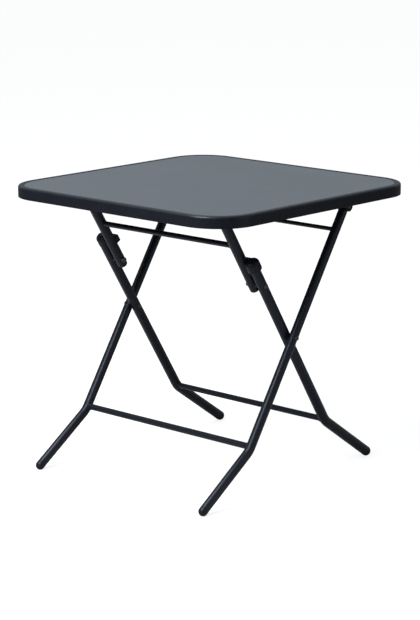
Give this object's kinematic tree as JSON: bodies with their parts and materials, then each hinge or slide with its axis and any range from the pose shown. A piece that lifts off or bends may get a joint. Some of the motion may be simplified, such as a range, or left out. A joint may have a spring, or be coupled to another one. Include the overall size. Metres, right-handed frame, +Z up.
{
  "type": "folding garden table",
  "caption": "Square folding garden table: a tempered glass top in a rounded steel rim on crossing bent tube legs that fold flat.",
  "frame": {"origin": "on the floor under the centre of the open table's top", "axes": "+Z up, +X along the crossbars to the right, +Y from the front edge, where the knee and the link frame are, to the back edge"},
  "size_m": [0.7, 0.7, 0.69],
  "materials": {
    "frame_paint": "satin anthracite powder coat",
    "smoked_glass": "grey tempered glass with a smooth upper face",
    "black_plastic": "moulded black plastic",
    "seal_rubber": "flat black strip",
    "rivet_steel": "dark zinc plated"
  },
  "bodies": {
    "outer_frame": {"left_outer_leg": "frame_paint", "right_outer_leg": "frame_paint", "outer_upper_bar": "frame_paint", "outer_lower_bar": "frame_paint", "left_outer_foot": "black_plastic", "right_outer_foot": "black_plastic", "outer_top_plugs": "black_plastic", "crossing_rivets": "rivet_steel", "crossing_washers": "black_plastic"},
    "inner_frame": {"left_inner_leg": "frame_paint", "right_inner_leg": "frame_paint", "inner_lower_bar": "frame_paint", "left_inner_foot": "black_plastic", "right_inner_foot": "black_plastic", "left_latch_block": "black_plastic", "right_latch_block": "black_plastic", "knee_rivets": "rivet_steel", "knee_washers": "black_plastic"},
    "tabletop": {"rim_frame": "frame_paint", "glass_panel": "smoked_glass", "glass_seal": "seal_rubber", "front_cross_rail": "frame_paint", "rear_cross_rail": "frame_paint", "front_left_hinge_bracket": "frame_paint", "front_right_hinge_bracket": "frame_paint", "rear_left_hinge_bracket": "frame_paint", "rear_right_hinge_bracket": "frame_paint", "front_bracket_rivets": "rivet_steel", "rear_bracket_rivets": "rivet_steel", "front_hinge_pins": "rivet_steel", "rear_hinge_pins": "rivet_steel"},
    "link_frame": {"left_link_tube": "frame_paint", "right_link_tube": "frame_paint", "link_bar": "frame_paint", "link_top_plugs": "black_plastic", "link_end_plugs": "black_plastic", "link_rivets": "rivet_steel"}
  },
  "joints": [
    {"name": "leg_fold", "type": "hinge", "parent": "outer_frame", "child": "inner_frame", "pos_m": [0, -0.00573, 0.35754], "axis": [-1, 0, 0], "range_deg": [0, 58]},
    {"name": "tabletop_hinge", "type": "hinge", "parent": "outer_frame", "child": "tabletop", "pos_m": [0, 0.1785, 0.644], "axis": [1, 0, 0], "range_deg": [0, 45.07]},
    {"name": "link_hinge", "type": "hinge", "parent": "tabletop", "child": "link_frame", "pos_m": [0, -0.187, 0.644], "axis": [1, 0, 0], "range_deg": [0, 51.34]}
  ],
  "couplings": [
    {"joint": "tabletop_hinge", "follows": "leg_fold", "ratio": 0.77702},
    {"joint": "link_hinge", "follows": "leg_fold", "ratio": 0.88504}
  ]
}
